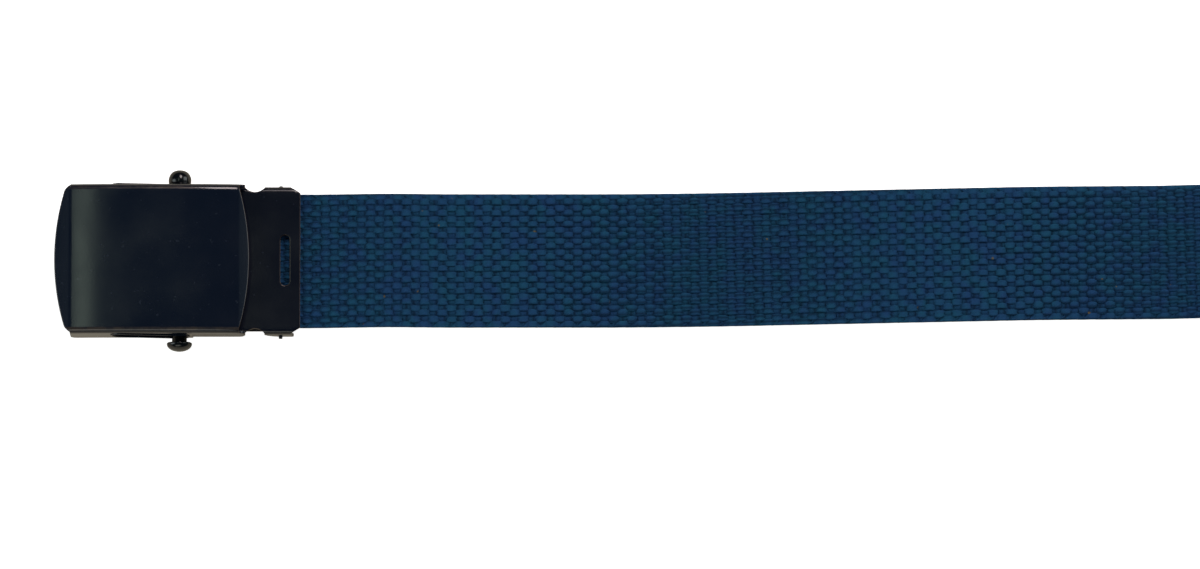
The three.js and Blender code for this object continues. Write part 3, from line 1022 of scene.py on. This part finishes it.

# %% [markdown]
# All these yarns together are one strip of cloth.

# %% [markdown]
# The free end is held in a pressed sleeve. Its rings all have the shape of a rounded
# rectangle, and one line of sizes takes them from the pocket's bottom out to the mouth,
# over the rim, along the outside and over the closed end, so the sleeve is one surface.

# %% End tip
tip_half = 16.675
tip_height = 3.5
tip_wall = 0.5
tip_edge = 1.4
tip_soft = 0.16
tip_floor_ring = 0.8
tip_corner_points = 9
smallest_corner = 0.1
# rings over the closed end: how far before it, and how far inside the outer skin
tip_closing = [(0.9, 0.0), (0.4, 0.08), (0.12, 0.28), (0.0, 0.6), (0.0, 1.3)]


def rounded_rectangle(half, low, high, radius, count):
    """Points of a rounded rectangle in Y and Z, the same number for every size."""
    parts = []
    for number, (y, z) in enumerate([(1, 1), (-1, 1), (-1, 0), (1, 0)]):
        centre_y = y * (half - radius)
        centre_z = high - radius if z else low + radius
        parts.append(arc_points((centre_y, centre_z), radius, 90 * number, 90 * number + 90, count))
    return np.concatenate(parts)


def tip_rings():
    """Rings from inside the pocket, round the mouth, to the closed end."""
    # place along the tip, and how far inside the outer skin
    table = [
        (tip_length - tip_wall, tip_wall + tip_floor_ring),
        (tip_length - tip_wall, tip_wall),
        (tip_soft, tip_wall),
        (0.0, tip_wall - tip_soft),
        (0.0, tip_soft),
        (tip_soft, 0.0),
    ]
    table += [(tip_length - before, inside) for before, inside in tip_closing]
    rings = []
    for place, inside in table:
        radius = max(tip_edge - inside, smallest_corner)
        ring = rounded_rectangle(tip_half - inside, inside, tip_height - inside, radius, tip_corner_points)
        rings.append(np.column_stack([np.full(len(ring), place), ring]))
    return np.stack(rings)


tip_grid = tip_rings()
tip_along, tip_side, tip_z = np.moveaxis(tip_grid, -1, 0)
tip_x = tip_mouth + tip_along * np.cos(bow_angle) - tip_side * np.sin(bow_angle)
tip_y = bow_at(tip_mouth) + tip_along * np.sin(bow_angle) + tip_side * np.cos(bow_angle)
tip_points = np.stack([tip_x, tip_y, tip_z], -1).reshape(-1, 3)
tip_faces = capped_tube(*tip_grid.shape[:2])
tip_sleeve = new_piece("tip_sleeve", tip_points, tip_faces, "belt", ["end_tip"])
tip_sleeve.data.set_sharp_from_angle(angle=sharp_angle)

# %% [markdown]
# Black baked paint isn't one flat black. It has a very fine orange peel, its gloss
# wanders a little, and dust and light rubs leave faint paler marks. Several pieces share
# this, so it is built once as a node group with named inputs, and each paint places
# it with its own values. The group reads Object coordinates, so it stays on the piece.

# %% Helpers for node groups


def new_group(name, inputs, outputs):
    """A shader node group of named number sockets. The inputs come with their values."""
    group = bpy.data.node_groups.new(name, "ShaderNodeTree")
    for label, value in inputs.items():
        socket = group.interface.new_socket(label, in_out="INPUT", socket_type="NodeSocketFloat")
        socket.default_value = value
    for label in outputs:
        group.interface.new_socket(label, in_out="OUTPUT", socket_type="NodeSocketFloat")
    entry = group.nodes.new("NodeGroupInput")
    leave = group.nodes.new("NodeGroupOutput")
    return group, entry.outputs, leave.inputs


def placed(tree, group):
    """A node that holds a shared group. Returns the group's outputs."""
    node = tree.nodes.new("ShaderNodeGroup")
    node.node_tree = group
    return node.outputs


def object_place(tree):
    """Object coordinates, which move with the piece."""
    return tree.nodes.new("ShaderNodeTexCoord").outputs["Object"]


def carried(tree, label):
    """A number that the mesh carries for each of its points."""
    node = tree.nodes.new("ShaderNodeAttribute")
    node.attribute_name = label
    return node.outputs["Fac"]


def maths(tree, operation, first, second=None):
    """A Math node whose inputs are numbers or other nodes' outputs. Returns its output."""
    node = tree.nodes.new("ShaderNodeMath")
    node.operation = operation
    for socket, value in zip(node.inputs, (first, second)):
        if isinstance(value, (int, float)):
            socket.default_value = value
        elif value is not None:
            tree.links.new(value, socket)
    return node.outputs[0]


def product(tree, first, *others):
    """A value multiplied by all the others, which are numbers or other nodes' outputs."""
    for other in others:
        first = maths(tree, "MULTIPLY", first, other)
    return first


def noise(tree, place, scale, detail):
    """Smooth noise at a place, from 0 to 1. The scale is in waves per metre."""
    node = tree.nodes.new("ShaderNodeTexNoise")
    node.inputs["Detail"].default_value = detail
    tree.links.new(place, node.inputs["Vector"])
    if isinstance(scale, (int, float)):
        node.inputs["Scale"].default_value = scale
    else:
        tree.links.new(scale, node.inputs["Scale"])
    return node.outputs["Fac"]


def ranged(tree, value, low, high, to_low, to_high):
    """A value taken from one range to another, without leaving it."""
    node = tree.nodes.new("ShaderNodeMapRange")
    tree.links.new(value, node.inputs["Value"])
    for label, number in (("From Min", low), ("From Max", high), ("To Min", to_low), ("To Max", to_high)):
        node.inputs[label].default_value = number
    return node.outputs["Result"]


def mixed(tree, share, first, second):
    """Two colours mixed by a share. Each colour is a tuple or another node's output.

    The Mix node has sockets for each kind of data: its inputs 6 and 7 and output 2 are colours.
    """
    node = tree.nodes.new("ShaderNodeMix")
    node.data_type = "RGBA"
    tree.links.new(share, node.inputs["Factor"])
    for socket, value in ((node.inputs[6], first), (node.inputs[7], second)):
        if isinstance(value, tuple):
            socket.default_value = (*value, 1)
        else:
            tree.links.new(value, socket)
    return node.outputs[2]


def bumped(tree, height, depth):
    """The normal of a surface that a height from 0 to 1 raises by a depth in millimetres."""
    node = tree.nodes.new("ShaderNodeBump")
    node.inputs["Distance"].default_value = depth * MM
    node.inputs["Strength"].default_value = 1.0
    tree.links.new(height, node.inputs["Height"])
    return node.outputs["Normal"]


print("node helpers:", ", ".join(f.__name__ for f in (maths, product, noise, ranged, mixed, bumped)))

# %% Baked paint group


def build_baked_paint():
    """Fine peel, wandering gloss, and dust: Height, Roughness and Dust from Object coordinates."""
    scales = {"Peel Scale": 2600.0, "Gloss Scale": 90.0, "Dust Scale": 900.0}
    group, entry, leave = new_group("baked_paint", scales, ["Height", "Roughness", "Dust"])
    place = object_place(group)
    peel = noise(group, place, entry["Peel Scale"], detail=2.0)
    gloss = noise(group, place, entry["Gloss Scale"], detail=5.0)
    specks = noise(group, place, entry["Dust Scale"], detail=1.0)
    group.links.new(peel, leave["Height"])
    group.links.new(ranged(group, gloss, 0.3, 0.7, -0.04, 0.05), leave["Roughness"])
    group.links.new(ranged(group, specks, 0.72, 0.78, 0.0, 1.0), leave["Dust"])
    return group


baked_paint = build_baked_paint()
print("group", baked_paint.name, "gives", [item.name for item in baked_paint.interface.items_tree][:3])

# %% [markdown]
# A finish is a material with its own Principled shader, and the group feeds it. The
# cover, the clip and the bar take the same group with other colours and depths. Metal
# shows warm and bare where hands rub it most: along the two folds of the cover. The same
# band lies where the folds catch the light, so it is partly wear and partly a painted
# highlight. The mask for that reads the distance beyond the fold, which the mesh carries.

# %% Materials for paint
scratch_scale = 700.0
wear_scale = 60.0
bare_metal = 0.8


def plain_material(name, colour, roughness, metallic=0.0):
    """A material with its own Principled shader. Returns both."""
    material = bpy.data.materials.new(name)
    material.use_nodes = True
    shader = material.node_tree.nodes["Principled BSDF"]
    shader.inputs["Base Color"].default_value = (*colour, 1)
    shader.inputs["Roughness"].default_value = roughness
    shader.inputs["Metallic"].default_value = metallic
    return material, shader


def paint_material(name, colour, dusty, roughness, peel_depth):
    """Baked paint: the shared group drives its colour, roughness and bump."""
    material, shader = plain_material(name, colour, roughness)
    tree = material.node_tree
    skin = placed(tree, baked_paint)
    tree.links.new(mixed(tree, skin["Dust"], colour, dusty), shader.inputs["Base Color"])
    tree.links.new(maths(tree, "ADD", skin["Roughness"], roughness), shader.inputs["Roughness"])
    tree.links.new(bumped(tree, skin["Height"], peel_depth), shader.inputs["Normal"])
    return material


def paint_bend_wear_and_highlight(material, start, full, end, worn):
    """Paint rubbed along both side bends, to bare metal of the colour worn: partly wear, partly a painted
    highlight where the bends catch the light.

    The mask rises from start to full and falls to end, in millimetres beyond the fold. Fine
    noise breaks it into scratches, and coarse noise makes it stronger here and weaker there.
    """
    tree = material.node_tree
    shader = tree.nodes["Principled BSDF"]
    place = object_place(tree)
    from_fold = carried(tree, "from_fold")
    near = ranged(tree, from_fold, start, full, 0.0, 1.0)
    far = ranged(tree, from_fold, full, end, 1.0, 0.0)
    broken = ranged(tree, noise(tree, place, scratch_scale, detail=4.0), 0.4, 0.6, 0.35, 1.0)
    along = ranged(tree, noise(tree, place, wear_scale, detail=2.0), 0.4, 0.6, 0.3, 1.0)
    # painted highlight and wear: a band just beyond each fold, where the bend catches the light
    band = product(tree, near, far)
    mask = product(tree, band, product(tree, broken, along))
    painted = shader.inputs["Base Color"].links[0].from_socket
    tree.links.new(mixed(tree, mask, painted, worn), shader.inputs["Base Color"])
    tree.links.new(product(tree, mask, bare_metal), shader.inputs["Metallic"])


print("the face is", round(2 * cover_half, 2), "mm wide over its walls")

# %% Paints
cover_values = ((0.0036, 0.0074, 0.0185), (0.014, 0.020, 0.034), 0.155, 0.004)
cover_black = paint_material("cover_black", *cover_values)
face_black = paint_material("face_black", *cover_values)
# the face's fold band: worn paint and a painted highlight
paint_bend_wear_and_highlight(face_black, start=0.05, full=0.45, end=1.3, worn=(0.13, 0.105, 0.09))
frame_black = paint_material("frame_black", (0.0022, 0.0038, 0.0115), (0.012, 0.016, 0.028), 0.20, 0.005)
bar_black = paint_material("bar_black", (0.0020, 0.0030, 0.0045), (0.010, 0.012, 0.015), 0.16, 0.002)
# worn and lit rims: a lighter warm metal, partly paint worn off, partly a painted highlight along the rims
edge_wear_and_highlight = plain_material("edge_wear_and_highlight", (0.055, 0.040, 0.036), 0.32, 0.7)[0]
paints = (cover_black, face_black, frame_black, bar_black, edge_wear_and_highlight)
print("paints:", [material.name for material in paints])

# %% [markdown]
# Cotton yarn is dull, and its look comes from its build: each lengthwise yarn is two
# strands side by side, so a shallow groove runs along it, and the strands' own fibres
# cross it at a slant. The yarns carry texture coordinates in millimetres along and in
# turns around, so both patterns follow the yarn through every bend of the weave.

# %% Cotton yarn group
strand_fullness = 0.9
fibre_wander = 1.4
wander_scale = 1500.0
fuzz_scale = 9000.0
strand_share, fibre_share, fuzz_share = 0.7, 0.3, 0.35


def build_cotton_yarn():
    """Groove and slanting fibres from the yarn's texture coordinates: Height, Shade and Fuzz."""
    counts = {"Fibre Count": 9.0, "Fibre Slant": 1.5, "Strand Slant": 0.004}
    group, entry, leave = new_group("cotton_yarn", counts, ["Height", "Shade", "Fuzz"])
    split = group.nodes.new("ShaderNodeSeparateXYZ")
    yarn_uv = group.nodes.new("ShaderNodeUVMap")
    yarn_uv.uv_map = "yarn"
    group.links.new(yarn_uv.outputs["UV"], split.inputs[0])
    along, around = split.outputs[0], split.outputs[1]
    place = object_place(group)

    twist = product(group, along, entry["Strand Slant"])
    strand_turn = product(group, maths(group, "ADD", around, twist), 2 * pi)
    strand = maths(group, "ABSOLUTE", maths(group, "COSINE", strand_turn))
    strand = maths(group, "POWER", strand, strand_fullness)

    slant = product(group, along, entry["Fibre Slant"])
    fibre_turn = product(group, around, entry["Fibre Count"])
    wander = product(group, noise(group, place, wander_scale, detail=2.0), fibre_wander)
    fibre_turn = maths(group, "ADD", maths(group, "ADD", fibre_turn, slant), wander)
    fibres = maths(group, "SINE", product(group, fibre_turn, 2 * pi))
    fibres = ranged(group, fibres, -1.0, 1.0, 0.0, 1.0)
    fuzz = noise(group, place, fuzz_scale, detail=3.0)

    height = product(group, strand, strand_share)
    for part, share in ((fibres, fibre_share), (fuzz, fuzz_share)):
        height = maths(group, "ADD", height, product(group, part, share))
    group.links.new(height, leave["Height"])
    groove_shade = ranged(group, strand, 0.05, 0.8, 0.3, 1.05)
    fibre_shade = ranged(group, fibres, 0.0, 1.0, 0.8, 1.1)
    group.links.new(product(group, groove_shade, fibre_shade), leave["Shade"])
    group.links.new(fuzz, leave["Fuzz"])
    return group


cotton_yarn = build_cotton_yarn()
print("group", cotton_yarn.name, "has", len(cotton_yarn.nodes), "nodes")

# %% [markdown]
# The crests, which the light reaches, are painted brighter, and the dips and grooves
# are painted almost black: this is painted shade of the weave's hollows. Dye takes
# unevenly in thick cotton, so slow noise moves the blue a little towards teal, and a
# few pale flecks of undyed fibre sit in it.

# %% Dyed cotton
cotton_roughness = 0.85
cotton_gloss = 0.08
dye_scale = 260.0
fleck_scale = 620.0
undyed = (0.16, 0.12, 0.05)


def cotton_material(name, deep, bright, teal, depth):
    """Dyed cotton with painted shade: the deep colour in the shaded grooves and dips, brighter on the lit
    strands and crests, with patches of uneven dye.
    """
    material, shader = plain_material(name, bright, cotton_roughness)
    tree = material.node_tree
    yarn = placed(tree, cotton_yarn)
    place = object_place(tree)
    patches = ranged(tree, noise(tree, place, dye_scale, detail=4.0), 0.35, 0.65, 0.0, 1.0)
    dyed = mixed(tree, patches, bright, teal)
    fluff = ranged(tree, yarn["Fuzz"], 0.35, 0.7, 0.75, 1.3)
    # painted shade: the share of the lit colour is higher near a crest and lower in the dips
    height = ranged(tree, carried(tree, "crest"), 0.1, 0.75, 0.68, 1.10)
    amount = product(tree, yarn["Shade"], fluff, height)
    flecks = ranged(tree, noise(tree, place, fleck_scale, detail=0.0), 0.84, 0.87, 0.0, 0.8)
    # painted shade: from the first, shaded colour in grooves and dips to the dyed colour on lit crests
    cotton = mixed(tree, amount, deep, dyed)
    tree.links.new(mixed(tree, flecks, cotton, undyed), shader.inputs["Base Color"])
    shader.inputs["Specular IOR Level"].default_value = cotton_gloss
    tree.links.new(bumped(tree, yarn["Height"], depth), shader.inputs["Normal"])
    return material


# the first colour of each is the painted shade of the dips and grooves
navy_warp = cotton_material(
    "navy_warp", (0.003, 0.013, 0.034), (0.017, 0.066, 0.178), (0.014, 0.084, 0.166), 0.11)
navy_weft = cotton_material(
    "navy_weft", (0.003, 0.012, 0.030), (0.013, 0.052, 0.142), (0.011, 0.066, 0.132), 0.08)
print("cotton:", navy_warp.name, navy_weft.name)

# %% [markdown]
# Each piece now gets its finish. The sheet pieces have a second slot for their edges,
# which are painted as worn and as catching the light, and the cover a third for its
# inside, which nobody rubs. The clamp lever stays the plain solid, because its shape is
# right: its loose triangles are only joined, its edges softened, and its material exchanged.

# %% Dressing the pieces
merge_distance = 0.001
lever_edge_round = 0.1

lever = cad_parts["clamp_lever"]
lever.data.materials.clear()
for piece, finishes in (
    (buckle_face, (face_black, edge_wear_and_highlight, cover_black)),
    (slot_lips, (cover_black,)),
    (tip_sleeve, (cover_black,)),
    (clip_plate, (frame_black, edge_wear_and_highlight)),
    (lever, (frame_black, edge_wear_and_highlight)),
    (roller_pin, (bar_black,)),
    (warp_pieces[0], (navy_warp,)),
    (warp_pieces[1], (navy_warp,)),
    (webbing_weft, (navy_weft,)),
    (webbing_core, (navy_weft,)),
):
    for material in finishes:
        piece.data.materials.append(material)

joined = lever.modifiers.new("joined triangles", "WELD")
joined.merge_threshold = merge_distance * MM
round_edges(lever, lever_edge_round)
print("lever has", len(lever.data.polygons), "faces, and its edges are rounded")

# %% [markdown]
# The picture is a plain product view: a white floor, and light that leaves the glossy
# face nearly black. Black paint shows only what it reflects, so the lamps stand where
# the face doesn't see them, apart from one narrow box. The face's front part tilts just
# enough to show that box, as a soft band that stops at the crease.

# %% Floor
floor_reach = 4.0
floor_level = -0.0001

corner_signs = ((-1, -1), (1, -1), (1, 1), (-1, 1))
floor_corners = [(x * floor_reach, y * floor_reach, floor_level) for x, y in corner_signs]
floor_mesh = bpy.data.meshes.new("floor")
floor_mesh.from_pydata(floor_corners, [], [(0, 1, 2, 3)])
floor = bpy.data.objects.new("floor", floor_mesh)
scene.collection.objects.link(floor)
floor_white, floor_shader = plain_material("floor_white", (0.9, 0.9, 0.9), 0.8)
floor_tree = floor_white.node_tree
to_camera = floor_tree.nodes.new("ShaderNodeLightPath").outputs["Is Camera Ray"]
seen = mixed(floor_tree, to_camera, (0.62, 0.57, 0.46), (0.95, 0.95, 0.95))
glow = mixed(floor_tree, to_camera, (0.26, 0.22, 0.17), (0.96, 0.96, 0.96))
floor_tree.links.new(seen, floor_shader.inputs["Base Color"])
floor_tree.links.new(glow, floor_shader.inputs["Emission Color"])
floor_shader.inputs["Emission Strength"].default_value = 1.0
floor_mesh.materials.append(floor_white)
print("floor is", 2 * floor_reach, "m wide")

# %% [markdown]
# Each lamp is a rectangle that faces the buckle. Its angle decides which surface
# mirrors it to the camera: the band box serves the sloping front of the cover, the key
# box the cloth and the far fold, the lip boxes the two pressed lips, and the low boxes
# the walls and the heads of the bar. The brightness is given for each area, so that a
# lamp can change its size and still look as bright.

# %% Room and lamps
world = bpy.data.worlds.new("room")
scene.world = world
world.use_nodes = True
background = world.node_tree.nodes["Background"]
background.inputs["Color"].default_value = (0.55, 0.8, 1.0, 1)
background.inputs["Strength"].default_value = 0.05
lamp_aim = Vector(in_belt_frame([cover_length / 2, 0, cover_top]))


def softbox(name, tilt, turn, distance, width, height, radiance, colour):
    """A rectangular lamp that faces the buckle, of a chosen brightness per area.

    tilt is its angle from straight up, and turn its direction round, in degrees from +X.
    """
    level = np.sin(radians(tilt))
    away = Vector((level * np.cos(radians(turn)), level * np.sin(radians(turn)), np.cos(radians(tilt))))
    lamp = bpy.data.lights.new(name, "AREA")
    lamp.shape = "RECTANGLE"
    lamp.size = width
    lamp.size_y = height
    lamp.energy = radiance * pi * width * height
    lamp.color = colour
    box = bpy.data.objects.new(name, lamp)
    box.location = lamp_aim + away * distance
    side = Vector((0, 1, 0)).cross(away).normalized()
    box.rotation_euler = Matrix((side, away.cross(side), away)).transposed().to_euler()
    scene.collection.objects.link(box)


# name, tilt, turn, distance, width, height, brightness, colour
for lamp in (
    ("band_box", 13.5, 144.6, 1.0, 0.12, 0.5, 1.6, (0.82, 1.0, 0.80)),
    ("key_box", 39, 74, 1.2, 0.34, 0.55, 9.5, (1.0, 0.88, 0.86)),
    ("front_lip_box", 34, 167, 1.1, 0.2, 0.6, 0.14, (0.8, 1.0, 1.0)),
    ("rear_lip_box", 34, 13, 1.1, 0.2, 0.6, 0.16, (0.8, 1.0, 1.0)),
    ("left_box", 64, 185, 1.2, 0.8, 0.7, 2.2, (0.92, 1.0, 1.0)),
    ("right_box", 60, 20, 1.3, 0.8, 0.7, 2.4, (0.95, 1.0, 1.0)),
    ("near_box", 62, -100, 1.3, 0.8, 0.6, 1.4, (1.0, 1.0, 0.85)),
):
    softbox(*lamp)
scene.view_settings.view_transform = "Standard"
